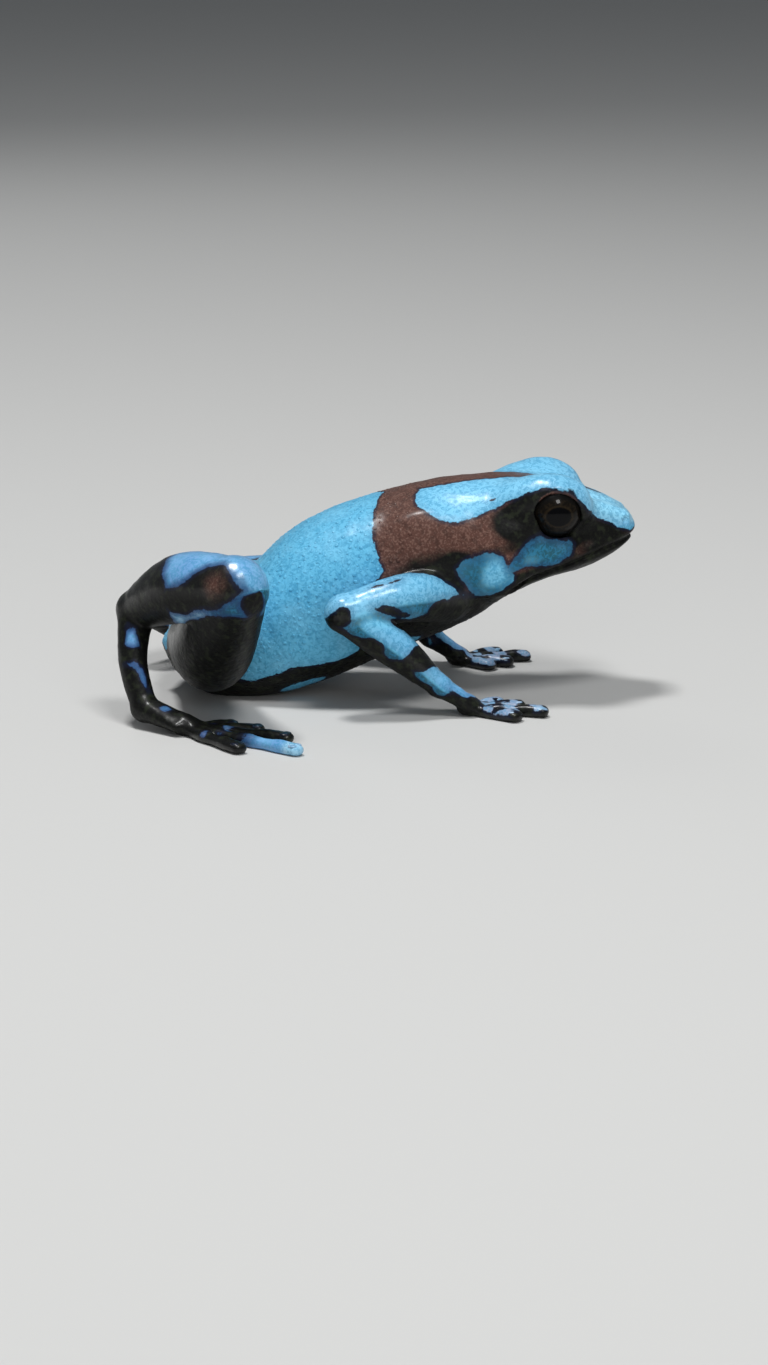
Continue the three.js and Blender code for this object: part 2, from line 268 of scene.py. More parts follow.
def window(centre, reach):
    first = np.clip(np.floor((np.array(centre) - reach) / voxel).astype(int) - gridLow, 0, gridCount)
    last = np.clip(np.ceil((np.array(centre) + reach) / voxel).astype(int) + 1 - gridLow, 0, gridCount)
    return tuple(slice(a, b) for a, b in zip(first, last))


def spotsIn(cells):
    return [gridAxes[k][tuple(cells[k] if j == k else slice(None) for j in range(3))] for k in range(3)]


def meet(one, other, soft):
    # two distances joined with a soft crease
    soft = np.maximum(soft, 1e-3)
    share = np.maximum(soft - np.abs(one - other), 0) / soft
    return np.minimum(one, other) - share * share * soft / 4


def cutFrom(one, other, soft):
    return -meet(-one, other, soft)


def nearTo(centre, reach):
    x, y, z = gridAxes
    return np.exp(-((x - centre[0]) ** 2 + (y - centre[1]) ** 2 + (z - centre[2]) ** 2) / reach**2)


def addRings(field, rings, soft):
    # a tube of rings with a point at each end, joined to the field
    count, around, _ = rings.shape
    points = np.concatenate([rings.reshape(-1, 3), rings[0].mean(0)[None], rings[-1].mean(0)[None]])
    i, j = np.meshgrid(np.arange(count - 1), np.arange(around), indexing="ij")
    k = (j + 1) % around
    quads = np.stack([i * around + j, i * around + k, (i + 1) * around + k, (i + 1) * around + j], -1)
    edge = np.arange(around)
    first = np.stack([edge, (edge + 1) % around, np.full(around, count * around)], -1)
    last = first + [(count - 1) * around, (count - 1) * around, 1]
    shape = vdb.FloatGrid.createLevelSetFromPolygons(
        points.astype(np.float32),
        triangles=np.concatenate([first, last]).astype(np.uint32),
        quads=quads.reshape(-1, 4).astype(np.uint32),
        transform=vdb.createLinearTransform(voxel),
        halfWidth=float(fieldGrid["band"]),
    )
    low, high = shape.evalActiveVoxelBoundingBox()
    low = np.maximum(low, gridLow)
    high = np.minimum(np.array(high) + 1, gridLow + gridCount)
    values = np.empty(high - low, np.float32)
    shape.copyToArray(values, ijk=tuple(int(v) for v in low))
    cells = tuple(slice(a, b) for a, b in zip(low - gridLow, high - gridLow))
    field[cells] = meet(field[cells], values, soft[cells] if isinstance(soft, np.ndarray) else soft)


def reckonFrom(centre, cells):
    # the three distances of the cells from a place, along the axes
    return [line - middle for line, middle in zip(spotsIn(cells), centre)]


def lengthOf(x, y, z):
    return np.sqrt(x**2 + y**2 + z**2)


def addBlob(field, centre, size, soft, carve):
    # a ball stretched along the three axes
    cells = window(centre, max(size) + soft + 3 * voxel)
    spots = reckonFrom(centre, cells)
    near = lengthOf(*(line / half for line, half in zip(spots, size)))
    slope = lengthOf(*(line / half**2 for line, half in zip(spots, size)))
    distance = near * (near - 1) / np.maximum(slope, 1e-6)
    field[cells] = (cutFrom if carve else meet)(field[cells], distance, soft)


def addRidge(field, start, end, radii, soft, carve):
    # a rod with round ends
    run = end - start
    cells = window((start + end) / 2, np.linalg.norm(run) / 2 + max(radii) + soft + 3 * voxel)
    spots = reckonFrom(start, cells)
    share = np.clip(sum(line * part for line, part in zip(spots, run)) / (run @ run), 0, 1)
    away = lengthOf(*(line - share * part for line, part in zip(spots, run)))
    distance = away - (radii[0] + share * (radii[1] - radii[0]))
    field[cells] = (cutFrom if carve else meet)(field[cells], distance, soft)


def trunkRings(count=190, around=112):
    rows = along(body["outline"], np.linspace(0.004, 0.996, count))
    x, wide, back, widest, belly, square = (column[:, None] for column in rows.T)
    turn = np.arange(around) * 2 * math.pi / around
    c, s = np.cos(turn)[None], np.sin(turn)[None]
    bendC = np.sign(c) * np.abs(c) ** (2 / square)
    bendS = np.sign(s) * np.abs(s) ** (2 / square)
    tall = np.where(s > 0, back - widest, widest - belly)
    spots = np.stack(np.broadcast_arrays(x, bendC * wide, widest + bendS * tall), -1)
    return turned(spots.reshape(-1, 3)).reshape(spots.shape)


def waysAlong(points, share):
    # the middle line of a limb at shares along it, and the ways ahead, across and up from there
    ahead = along(points, np.minimum(share + 0.02, 1)) - along(points, np.maximum(share - 0.02, 0))
    ahead /= np.linalg.norm(ahead, axis=1)[:, None]
    across = np.cross(ahead, [0, 0, 1])
    across /= np.linalg.norm(across, axis=1)[:, None]
    return along(points, share), ahead, across, np.cross(across, ahead)


def limbRings(points, sizes, spans=44, caps=9, around=36):
    # rings along a limb, with more of them that close its round ends
    step = np.arange(spans + 2 * caps + 1)
    share = np.clip((step - caps) / spans, 0, 1)
    cap = (np.clip(1 - step / caps, 0, 1) - np.clip((step - spans - caps) / caps, 0, 1)) * math.pi / 2 * 0.96
    centre, ahead, across, raised = waysAlong(points, share)
    wide, tall = along(sizes, share).T
    centre = centre - ahead * (np.sin(cap) * np.minimum(wide, tall))[:, None]
    turn = np.arange(around) * 2 * math.pi / around
    c, s = np.cos(turn)[None, :, None], np.sin(turn)[None, :, None]
    shrink = np.cos(cap)[:, None, None]
    aside = across[:, None] * c * wide[:, None, None] * shrink
    upward = raised[:, None] * s * tall[:, None, None] * shrink
    return centre[:, None] + aside + upward


def bonePoints(side, bone):
    return [onSide(side, limbs[side][name]) for name in bones[bone]]


def digitPoints(side, root, heading, row, pad):
    spread, curve, length, knuckles = row
    steps = 2 * knuckles + 1
    stride = (length - pad[0]) / steps
    flip = -1 if side == "right" else 1
    points = [[root[0], root[1], digit["rootHeight"]]]
    sizes = [[digit["root"], digit["root"]]]
    for k in range(1, steps + 1):
        angle = flip * math.radians(heading - spread + curve * (k - 0.5) / steps)
        x, y, _ = points[-1]
        points.append([x + math.cos(angle) * stride, y + math.sin(angle) * stride, digit["height"]])
        half = digit["shaft"] if k % 2 else digit["knuckle"]
        sizes.append(pad if k == steps else [half, half])
    return points, sizes


def digitsOf(side):
    hand = onSide(side, limbs[side]["palm"])
    foot = onSide(side, limbs[side]["sole"])
    found = {"finger": [], "toe": []}
    for row in fingers:
        found["finger"].append(digitPoints(side, hand, limbs[side]["handPoints"], row, digit["fingerPad"]))
    for row in toes:
        found["toe"].append(digitPoints(side, foot, limbs[side]["footPoints"], row, digit["toePad"]))
    return found


def softNear(side, place, soft, reach):
    return soft * nearTo(onSide(side, limbs[side][place]), reach)


def limbField(side, chain):
    # one arm or leg, soft where it bends and creased where its flesh only lies together
    field = np.full(gridCount, farOff, np.float32)
    for bone in chain["bones"]:
        soft = creases["bone"]
        for joint, (bendSoft, reach) in chain["bends"].items():
            if joint in bones[bone]:
                soft = soft + softNear(side, joint, bendSoft - creases["bone"], reach)
        addRings(field, limbRings(bonePoints(side, bone), girth[bone]), soft)
    web = creases["digit"] + softNear(side, *chain["web"])
    for points, sizes in digitsOn[side][chain["digits"]]:
        spans = digit["spans"] * (len(points) - 1)
        addRings(field, limbRings(points, sizes, spans, digit["caps"], digit["around"]), web)
    return field


def headAndTrunk():
    field = np.full(gridCount, farOff, np.float32)
    addRings(field, trunkRings(), 0)
    for side in sides:
        for name, (centre, size, soft) in forms.items():
            addBlob(field, headPlace(side, centre), size, soft, name.split()[0] in carvings)
        for name, (start, end, radii, soft) in ridges.items():
            carve = name.split()[0] in carvings
            addRidge(field, headPlace(side, start), headPlace(side, end), radii, soft, carve)
    return field


def sectionAt(x):
    # half width, back, widest line, belly and squareness of the trunk at places along it
    rows = along(body["outline"], np.linspace(0, 1, 400))[::-1]
    return [np.interp(x, rows[:, 0], rows[:, k]) for k in range(1, 6)]


def onCheek(side, part):
    # the place on the skin of the plain head where a nostril or an eardrum sits
    x, z = part["ahead"], part["height"]
    wide, back, widest, belly, square = sectionAt(x)
    tall = back - widest if z > widest else widest - belly
    return headPlace(side, [x, wide * (1 - (abs(z - widest) / tall) ** square) ** (1 / square), z])


def mouthHeight(x):
    # the line of the mouth, seen from the side, turns down a little at its corner
    past = x - mouth["corner"]
    down = mouth["sag"] * (1 - np.clip(past / mouth["sagReach"], 0, 1)) ** 2
    return mouth["cornerHeight"] + math.tan(mouth["rise"]) * past - down


def bump(distance, width):
    return np.exp(-((distance / width) ** 2))


def raisedBy(rows, distance, before=0):
    # small rises and dips of the skin, given as height, distance and width, added to what was before
    return sum((height * bump(distance - at, width) for height, at, width in rows), before)


def addFaceLines(field):
    # lips and the line of the mouth, nostrils and eardrums
    cells = window(*face)
    x, y, z = spotsIn(cells)
    angle = body["headTurn"]
    ahead = body["neckAt"] + (x - body["neckAt"]) * math.cos(angle) + y * math.sin(angle)
    above = (z - mouthHeight(ahead)) * math.cos(mouth["rise"])
    inMouth = smoothStep(ahead, mouth["corner"] - 0.4, mouth["corner"] + 0.8)
    change = inMouth * raisedBy(mouth["lips"], above)
    for side in sides:
        for part in (nostril, eardrum):
            away = lengthOf(*reckonFrom(onCheek(side, part), cells))
            change = raisedBy(part["rises"], away, change)
    field[cells] -= change


def addLids(field, side):
    # the flesh is cleared from before the eyeball, and a shell over it is left open to the side
    centre = headPlace(side, eye["centre"])
    radius = eye["radius"]
    cells = window(centre, radius + 2.0)
    spots = reckonFrom(centre, cells)
    away = lengthOf(*spots)
    facing = sum(line * part for line, part in zip(spots, onSide(side, eye["lidFacing"])))
    before = eye["opening"] * radius - facing
    thick = eye["lidThick"] * (1 + 0.4 * np.clip(spots[2] / radius, -1, 1))
    cleared = np.maximum(away - (radius + eye["gap"]), before)
    lids = cutFrom(away - (radius + thick), before, 0.2)
    field[cells] = cutFrom(field[cells], cleared, 0.3)
    field[cells] = meet(field[cells], lids, 0.4)
    field[cells] = cutFrom(field[cells], away - (radius - eye["under"]), 0.2)


frog = headAndTrunk()
addFaceLines(frog)
print("head and trunk shaped")
digitsOn = {side: digitsOf(side) for side in sides}
for side in sides:
    for chain in chains.values():
        frog = meet(frog, limbField(side, chain), creases["limb"] + softNear(side, *chain["root"]))
for side in sides:
    addLids(frog, side)
frog = cutFrom(frog, gridAxes[2] + 0 * frog, creases["floor"])
print("limbs and lids joined")


def meshFromField(name, field):
    whole = vdb.FloatGrid(farOff)
    whole.transform = vdb.createLinearTransform(voxel)
    whole.copyFromArray(field, ijk=tuple(int(v) for v in gridLow), tolerance=0.0)
    points, quads = whole.convertToQuads(0.0)
    mesh = bpy.data.meshes.new(name)
    mesh.vertices.add(len(points))
    mesh.vertices.foreach_set("co", points.astype(np.float32).ravel())
    mesh.loops.add(quads.size)
    mesh.loops.foreach_set("vertex_index", quads.astype(np.int32).ravel())
    mesh.polygons.add(len(quads))
    mesh.polygons.foreach_set("loop_start", np.arange(len(quads), dtype=np.int32) * 4)
    mesh.update(calc_edges=True)
    mesh.validate()
    return mesh


def addObject(name, data):
    made = bpy.data.objects.new(name, data)
    bpy.context.scene.collection.objects.link(made)
    return made


def thinned(mesh, faces):
    # fewer faces where the skin is flat
    rough = addObject("rough", mesh)
    triangles = sum(len(p.vertices) - 2 for p in mesh.polygons)
    thin = rough.modifiers.new("thin", "DECIMATE")
    thin.ratio = min(1.0, faces / triangles)
    depsgraph = bpy.context.evaluated_depsgraph_get()
    result = bpy.data.meshes.new_from_object(rough.evaluated_get(depsgraph))
    bpy.data.objects.remove(rough)
    print(triangles, "triangles thinned to", len(result.polygons))
    return result


def pointsOf(mesh):
    found = np.empty(len(mesh.vertices) * 3, np.float32)
    mesh.vertices.foreach_get("co", found)
    return found.reshape(-1, 3).astype(float)


def keepOn(mesh, name, values):
    # a value at each point of a mesh, for its material to read
    layer = mesh.attributes.new(name, "FLOAT", "POINT")
    layer.data.foreach_set("value", np.asarray(values, np.float32))


def trunkPlace(places):
    # place along the trunk, distance from its middle plane, degrees up from its widest line,
    # size of the section there, and the share of the way out to the section's edge
    x, y, z = turned(places, back=True).T
    wide, back, widest, belly, square = sectionAt(x)
    tall = np.maximum(np.where(z > widest, back - widest, widest - belly), 0.3)
    up = (np.abs(z - widest) / tall) ** (square / 2)
    out = (np.abs(y) / np.maximum(wide, 0.3)) ** (square / 2)
    fill = np.hypot(up, out) ** (2 / square)
    return x, y, np.degrees(np.arctan2(np.sign(z - widest) * up, out)), (wide + tall) / 2, fill


def limbPlace(side, places, points, sizes, count=24):
    # millimetres along a bone, degrees around it from its upper side, negative outward,
    # size of the section there, and distance to the bone's own flesh
    shares = np.linspace(0, 1, count)
    line = along(points, shares)
    runs = np.concatenate([[0], np.cumsum(np.linalg.norm(np.diff(line, axis=0), axis=1))])
    nearest = np.full(len(places), np.inf)
    at = np.zeros(len(places))
    for k in range(count - 1):
        run = line[k + 1] - line[k]
        share = np.clip((places - line[k]) @ run / (run @ run), 0, 1)
        away = np.linalg.norm(places - line[k] - share[:, None] * run, axis=1)
        closer = away < nearest
        nearest = np.where(closer, away, nearest)
        at = np.where(closer, (k + share) / (count - 1), at)
    centre, ahead, across, raised = waysAlong(points, at)
    aside = places - centre
    a, b = (aside * across).sum(1), (aside * raised).sum(1)
    wide, tall = along(sizes, at).T
    size = np.hypot(wide * a, tall * b) / np.maximum(np.hypot(a, b), 1e-6)
    # past either end the millimetres run on
    distance = np.interp(at, shares, runs) + (aside * ahead).sum(1)
    degrees = np.degrees(np.arctan2(a, b)) * (1 if side == "right" else -1)
    return distance, degrees, size, nearest - size


# Markings of head and trunk: millimetres ahead along the trunk, degrees up from its widest line
trunkMarks = {
    # the blue rump reaches ahead to here: degrees, millimetres ahead
    "rumpEdge": [
        [-90, -2.0], [-40, -0.5], [-12, 0.6], [6, 0.35], [9, 0.9], [13, 1.5], [20, 1.1], [37, 0.7], [60, 0.7],
        [90, 1.4],
    ],
    # and down to here: millimetres ahead, degrees
    "bellyEdge": [[-16, -20], [-12, -30], [-8, -38], [-5, -34], [-2, -42], [1, -36], [5, -40]],
    # half width in mm of the brown band along the middle of the back, which ends on the snout
    "middleBand": [
        [3, 1.8], [5.5, 1.5], [9.5, 1.35], [11.3, 1.1], [12.6, 0.65], [14.5, 0.42], [16.6, 0.3], [17.8, 0.1],
        [18.4, -0.4],
    ],
    "blue": {
        "stripe": [
            [3.85, 64], [4.2, 48], [5.5, 36], [6.9, 31], [8.3, 35], [9.9, 41.5], [11.2, 44], [12.3, 45],
            [13.8, 44], [15.2, 38], [16.2, 32], [17.4, 29], [18.3, 24], [19.3, 13], [20.3, 0], [22, 50],
            [20, 110], [14, 120], [8, 110], [5.2, 98], [4.3, 80],
        ],
        "blob": [
            [6.9, 2], [8.3, 4.5], [9.6, 4], [10.3, -3], [10.7, -15], [10.3, -24], [9.1, -29], [8.1, -26],
            [7.3, -13], [6.8, -3],
        ],
        "cheek": [
            [10.4, -4], [11.2, 4], [12.3, 12], [13.4, 13], [14.9, 9], [15.1, 2], [14.5, -5], [13.6, -12],
            [11.7, -9], [10.6, -10],
        ],
        "belly spot": [[-6.2, -62], [-4.6, -55], [-2.9, -60], [-3.4, -70], [-5.4, -72]],
        "breast spot": [[1.8, -58], [3.3, -50], [4.2, -60], [3.0, -70]],
        "throat spot": [[11.6, -66], [13.3, -60], [14.4, -70], [12.6, -80]],
    },
    "brown": {"nick": [[9.1, 47.5], [9.35, 49.6], [9.6, 48.2], [9.4, 46.6]]},
    # soft patches of black in the brown: ahead, degrees, reach ahead, reach in degrees, strength
    "blacks": [
        [13.4, 24, 3.2, 28, 1.4],
        [10.9, 27, 2.0, 14, 0.9],
        [17.9, 8, 2.4, 24, 0.9],
        [16.8, -14, 3.6, 16, 0.6],
        [12.4, -18, 3.2, 10, 0.6],
        [16.1, 2, 0.9, 8, -0.35],
        [4.6, 4, 2.6, 13, 0.75],
        [6.5, -4, 1.2, 13, 1.1],
        [8.6, 6, 2.2, 5, 0.5],
    ],
    # soft patches of teal, duller than the rest of the blue, partly its own tone and partly painted shade,
    # and patches of painted highlight on the swell in one of them
    "tealsAndPaintedShade": [[12.9, 2, 2.7, 19, 1.15], [8.2, -12, 2.4, 24, 0.85]],
    "paintedHighlights": [[9.45, -9, 0.9, 11, 1.0], [12.0, -3, 0.7, 5, 0.3]],
}
# Coats of the limbs. Each is blue within so many degrees of its upper side, and marks darken it, at
# millimetres along the bone and degrees around it, negative outward. Tint runs from teal at -1 over turquoise
# at 0 and violet at 1 to lilac, and tint and paleness change from the first value to the second in 10 mm.
# The paleness is partly painted light on the upper sides, most on the upper arm and at the knee.
coats = {
    "upperArm": {
        "blueTo": 128, "tint": [0.3, 0.35], "pale": [0.35, 0.45], "shine": 0.8, "soft": 0.35,
        "dark": [
            [
                [-0.2, -76], [1.4, -85], [2.6, -91], [3.2, -104], [3.4, -125], [3.0, -150], [-1, -165],
                [-2.5, -120], [-2, -85],
            ],
            [
                [3.7, -4], [3.0, -14], [2.0, -33], [1.3, -50], [0.6, -64], [0, -75], [-1.5, -80], [-2.6, -40],
                [-2.6, 40], [0, 60], [2.4, 30], [3.5, 12],
            ],
            [[4.7, -21], [5.6, -23], [6.7, -20], [6.7, -24], [5.6, -28], [4.7, -25]],
            [[6.2, -84], [7.3, -84], [7.0, -100], [5.8, -125], [4.6, -128], [5.2, -108]],
            [[9.0, -62], [9.9, -50], [10.8, -90], [10.3, -130], [9.1, -110]],
        ],
    },
    "forearm": {
        "blueTo": 112, "tint": [0.3, 0.5], "pale": [0.3, 0.2], "shine": 0.7, "soft": 0.35,
        "dark": [
            [[3.1, -125], [3.6, -60], [3.4, 0], [4.1, 10], [4.5, -50], [4.2, -125]],
            [[5.4, -130], [5.8, -20], [5.6, 90], [7.4, 90], [7.4, -130]],
        ],
    },
    "hand": {
        "blueTo": 55, "tint": [0.6, 0.8], "pale": [0.2, 0.3], "shine": 0.3, "soft": 0.4,
        "dark": [[[-1, -60], [0.4, -30], [0.5, 40], [-1, 60]]],
    },
    "thigh": {
        "blueTo": 78, "tint": [0.1, 0.4], "pale": [0.1, 0.2], "shine": 0.6, "soft": 0.6,
        "dark": [
            [[1.0, 10], [3.2, -10], [5.2, 8], [5.6, 50], [3.6, 70], [1.4, 50]],
            [[8.4, -8], [10.2, -30], [12.0, -12], [12.2, 40], [10.4, 64], [8.8, 36]],
            [[1.5, 58], [5.0, 50], [9.0, 54], [13.0, 62], [13.5, 120], [1.0, 120]],
        ],
    },
    "shank": {
        "blueTo": 180, "tint": [0.85, 1.0], "pale": [0.3, 0.0], "shine": 0.9, "soft": 1.0,
        "dark": [
            [
                [-0.5, -33], [0.6, -36], [1.8, -52], [2.6, -70], [3.6, -82], [4.9, -88], [5.0, -124],
                [3.4, -133], [2.0, -123], [0.6, -116], [-0.4, -108], [-1.1, -97], [-1.4, -84], [-1.25, -68],
                [-1.0, -50],
            ],
            [
                [5.3, -10], [5.1, -45], [4.7, -72], [4.6, -100], [5.2, -130], [6.5, -165], [9, -170],
                [13, -100], [13.5, -30], [12, 40], [8.5, 50], [6.2, 24],
            ],
            [[-2.25, -112], [-2.7, -135], [-2.6, -190], [-1.8, -200], [-1.8, -172], [-2.05, -138]],
            [[1.4, 60], [3.4, 40], [5.8, 62], [5.8, 120], [3.0, 150], [1.4, 110]],
            [[4.0, -160], [2.4, -149], [0.6, -138], [-0.6, -146], [-0.8, -162], [0.6, -185], [3.4, -185]],
        ],
    },
    "tarsus": {
        "blueTo": 30, "tint": [0.8, 0.9], "pale": [0.0, 0.1], "shine": 0.3, "soft": 1.0,
        "dark": [
            [[-2, -60], [1.2, -60], [1.6, 60], [-2, 60]],
            [[3.2, -60], [4.4, -50], [4.2, 60], [3.0, 60]],
        ],
    },
    "foot": {
        "blueTo": 14, "tint": [0.6, 0.8], "pale": [0.0, 0.0], "shine": 0.3, "soft": 1.0,
        "dark": [[[-1, -60], [1.4, -60], [1.7, 60], [-1, 60]]],
    },
}
# how far small swells move the edge of the blue on each bone, in mm
strays = {"forearm": 0.35, "hand": 0.5, "tarsus": 0.6, "foot": 0.6, "thigh": 0.2}
# Where the part that a joint ends in keeps the coat of its neighbour: bone, end, millimetres
yields = {"thigh": [11.0, 14.0], "forearm": [2.0, 0.0], "foot": [0.6, -0.6]}
digitCoat = {
    "finger": {"patches": [0.2, 0.55, 0.9], "length": 0.3, "tint": 1.7, "pale": 0.1, "soft": 0.2},
    "toe": {"patches": [0.4], "length": 0.1, "tint": 1.3, "pale": 0.0, "soft": 1.0},
}
# what a coat is where it doesn't say: mm into the blue, blackness of the rest, tint and paleness of the blue,
# wetness, softness of the blue's edge, and how thick the granules stand
coatPlain = {"blue": -1.0, "dark": 1.0, "tint": 0.0, "pale": 0.0, "shine": 0.4, "soft": 0.0, "grain": 0.0}
paleToe = {"right": 3, "left": 2}  # one long toe on each foot has a pale blue end
leftSway = {"ahead": 0.5, "degrees": 4.0}  # how far the left side's markings stray from the right side's
patchBlend = 0.25  # how softly the coats of neighbouring parts go over into each other, in mm
trunkBox = [[-30.0, -9, -5], [30.0, 9, 25]]
coatReach = {"limb": 4.5, "digit": 1.2}


def intoMark(u, v, perDegree, points):
    # millimetres into a mark, negative outside it, on a smooth closed curve through its points
    ring = ringThrough(points)
    after = np.roll(ring, -1, axis=0)
    middle = ring[:, 1].mean()
    v = (v - middle + 180) % 360 - 180 + middle
    reach = 1.5
    result = np.full(len(u), -reach)
    near = (u > ring[:, 0].min() - reach) & (u < ring[:, 0].max() + reach)
    near &= (v > ring[:, 1].min() - reach / perDegree) & (v < ring[:, 1].max() + reach / perDegree)
    u, v, scale = u[near, None], v[near, None], perDegree[near, None]
    ax, ay = ring[None, :, 0] - u, (ring[None, :, 1] - v) * scale
    bx, by = after[None, :, 0] - u, (after[None, :, 1] - v) * scale
    share = np.clip(-(ax * (bx - ax) + ay * (by - ay)) / ((bx - ax) ** 2 + (by - ay) ** 2 + 1e-9), 0, 1)
    away = np.hypot(ax + share * (bx - ax), ay + share * (by - ay)).min(1)
    crosses = ((ay > 0) != (by > 0)) & (ax - ay * (bx - ax) / np.where(by == ay, 1, by - ay) > 0)
    inside = crosses.sum(1) % 2 == 1
    result[near] = np.clip(np.where(inside, away, -away), -reach, reach)
    return result


def readAt(rows, at):
    rows = np.asarray(rows, float)
    return np.interp(at, rows[:, 0], rows[:, 1])


def coatValues(at, **given):
    return {name: given.get(name, plain) + 0 * at for name, plain in coatPlain.items()}


def patchesAt(rows, u, v):
    return sum(s * np.exp(-((((u - a) / ru) ** 2 + ((v - b) / rv) ** 2) ** 2)) for a, b, ru, rv, s in rows)


def strayOf(places, scale):
    return np.array([noise.noise(Vector(p) * scale) for p in places])


def trunkCoat(places):
    u, y, v, size, fill = trunkPlace(places)
    perDegree = size * math.pi / 180
    # the left side's markings stray a little, and meet the right side's along the middle
    stray = np.clip((90 - np.abs(v)) / 40, 0, 1) * (y > 0)
    strayU = u + leftSway["ahead"] * stray * np.sin(0.8 * u + 1.0)
    strayV = v + leftSway["degrees"] * stray * np.sin(0.9 * u + 2.2)
    above = (strayV - readAt(trunkMarks["bellyEdge"], strayU)) * perDegree
    blue = np.minimum(readAt(trunkMarks["rumpEdge"], strayV) - strayU, above)
    for name, points in trunkMarks["blue"].items():
        mark = intoMark(strayU, strayV, perDegree, points)
        if name == "stripe":
            middle = np.abs(y + 0.1 * np.sin(1.3 * u)) - readAt(trunkMarks["middleBand"], u)
            mark = np.minimum(mark, middle)
        blue = np.maximum(blue, mark)
    for points in trunkMarks["brown"].values():
        blue = np.minimum(blue, -intoMark(strayU, strayV, perDegree, points))
    dark = smoothStep(-strayV, 10, 30) + patchesAt(trunkMarks["blacks"], strayU, strayV)
    # teal that is partly painted shade, and a painted highlight on the swell
    teal = np.clip(patchesAt(trunkMarks["tealsAndPaintedShade"], strayU, strayV), 0, 1)
    paintedHighlight = patchesAt(trunkMarks["paintedHighlights"], strayU, strayV)
    # the blue turns paler and more violet ahead of the shoulders, most of all on top of the snout;
    # the paler top is partly painted light falling from above
    ahead, onTop, onSnout = smoothStep(u, 2, 6), smoothStep(v, 12, 45), smoothStep(v, 5, 30)
    tint = 0.02 + 0.2 * ahead * onTop + 0.6 * smoothStep(u, 14, 18.5) * onSnout - teal * (1 - paintedHighlight)
    pale = (0.42 * ahead + 0.2 * smoothStep(u, 13.5, 16)) * onTop + 0.35 * paintedHighlight
    pale = pale + 0.5 * smoothStep(u, 15.5, 17.5) * onSnout
    # black around the eye, with a thin bronze line on the rim of the upper lid
    for side in sides:
        centre = headPlace(side, eye["centre"])
        away = np.linalg.norm(places - centre, axis=1) - eye["radius"]
        near = smoothStep(away, 1.2, 0.4)
        dark = dark + near
        blue = np.minimum(blue, (away - 0.32) + 9 * (away > 1.5))
        rim = np.exp(-(((away - 0.14) / 0.12) ** 2)) * smoothStep(places[:, 2] - centre[2], 0.6, 1.2)
        dark = dark - 3 * rim
    return coatValues(
        u,
        blue=blue,
        dark=np.clip(dark, 0, 1),
        tint=tint,
        pale=np.clip(pale, 0, 1),
        shine=0.04 + 0.36 * smoothStep(v, 20, 50) + 0.2 * smoothStep(u, 9, 12) * smoothStep(v, 25, 45),
        soft=0.15 + 0.5 * teal,
        grain=np.maximum(smoothStep(6 - u, 0, 5), 0.8 * smoothStep(-v, 10, 40) * smoothStep(11 - u, 0, 3)),
    ), (fill - 1) * size


def limbCoat(side, bone, places):
    coat = coats[bone]
    at, degrees, size, gap = limbPlace(side, places, bonePoints(side, bone), girth[bone])
    perDegree = size * math.pi / 180
    sway = leftSway["ahead"] * np.sin(0.9 * at + 0.5) if side == "left" else 0
    blue = (coat["blueTo"] + 9 * np.sin(1.7 * at + sway) - np.abs(degrees)) * perDegree
    for points in coat["dark"]:
        blue = np.minimum(blue, -intoMark(at + sway, degrees, perDegree, points))
    if bone in strays:
        blue = blue + strays[bone] * 2 * strayOf(places, 0.8)
    # painted shade: on the underside the blue turns teal and loses its paleness
    under = smoothStep(np.abs(degrees), 80, 115)
    dark = 0.95
    if bone == "shank":
        # the knee is painted teal below as shade, and ruddy in its dark patch, and the band under the shank a
        # violet grey
        band = smoothStep(np.abs(degrees), 118, 132) * smoothStep(at, 0.2, 1.4)
        under = under * smoothStep(at, 1.4, 0.2) - 0.35 * band
        dark = dark - 0.6 * np.exp(-((at - 0.1) ** 2 + ((degrees + 72) * perDegree) ** 2) / 1.3)
    tint = np.interp(at, [0, 10], coat["tint"]) - 2.4 * under
    pale = np.interp(at, [0, 10], coat["pale"]) - under
    if bone in yields:
        own, others = yields[bone]
        gap = gap + 0.7 * smoothStep((at - own) / (others - own), 0, 1)
    return coatValues(
        at,
        blue=blue,
        dark=dark,
        tint=tint,
        pale=np.clip(pale, 0, 1),
        shine=0.03 + coat["shine"] * smoothStep(np.abs(degrees), 112, 65),
        soft=coat["soft"],
    ), gap


def digitCoats(side, kind, index, places):
    points, sizes = digitsOn[side][kind][index]
    coat = digitCoat[kind]
    at, degrees, size, gap = limbPlace(side, places, points, sizes, 16)
    length = np.linalg.norm(np.diff(points, axis=0), axis=1).sum()
    across = (75 - np.abs(degrees)) * size * math.pi / 180
    blue = np.full(len(places), -1.0)
    for patch in coat["patches"]:
        middle = patch * length + 0.3 * math.sin(3.1 * index + 1.7 * patch)
        blue = np.maximum(blue, coat["length"] - np.abs(at - middle) * 0.8)
    blue = blue + 0.7 * strayOf(places, 1.5)
    tint, pale = coat["tint"], coat["pale"]
    if kind == "toe" and index == paleToe[side]:
        blue = np.maximum(blue, 0.4 * (at - 0.55 * length))
        tint = 0.8 + 0.9 * smoothStep(at, 0.85 * length, 0.97 * length)
        pale = 0.15 + 0.5 * smoothStep(at, 0.85 * length, 0.97 * length)
        across = across + 1.5 * smoothStep(at, 0.5 * length, 0.7 * length)
    return coatValues(at, blue=np.minimum(blue, across), tint=tint, pale=pale, soft=coat["soft"]), gap


def coatParts():
    # each part's coat and what it is given, the places that the part spans, and how far past them it reaches
    parts = [(trunkCoat, (), trunkBox, 0)]
    for side in sides:
        for bone in bones:
            parts.append((limbCoat, (side, bone), bonePoints(side, bone), coatReach["limb"]))
        for kind, rows in digitsOn[side].items():
            for index, (points, _) in enumerate(rows):
                parts.append((digitCoats, (side, kind, index), points, coatReach["digit"]))
    return parts


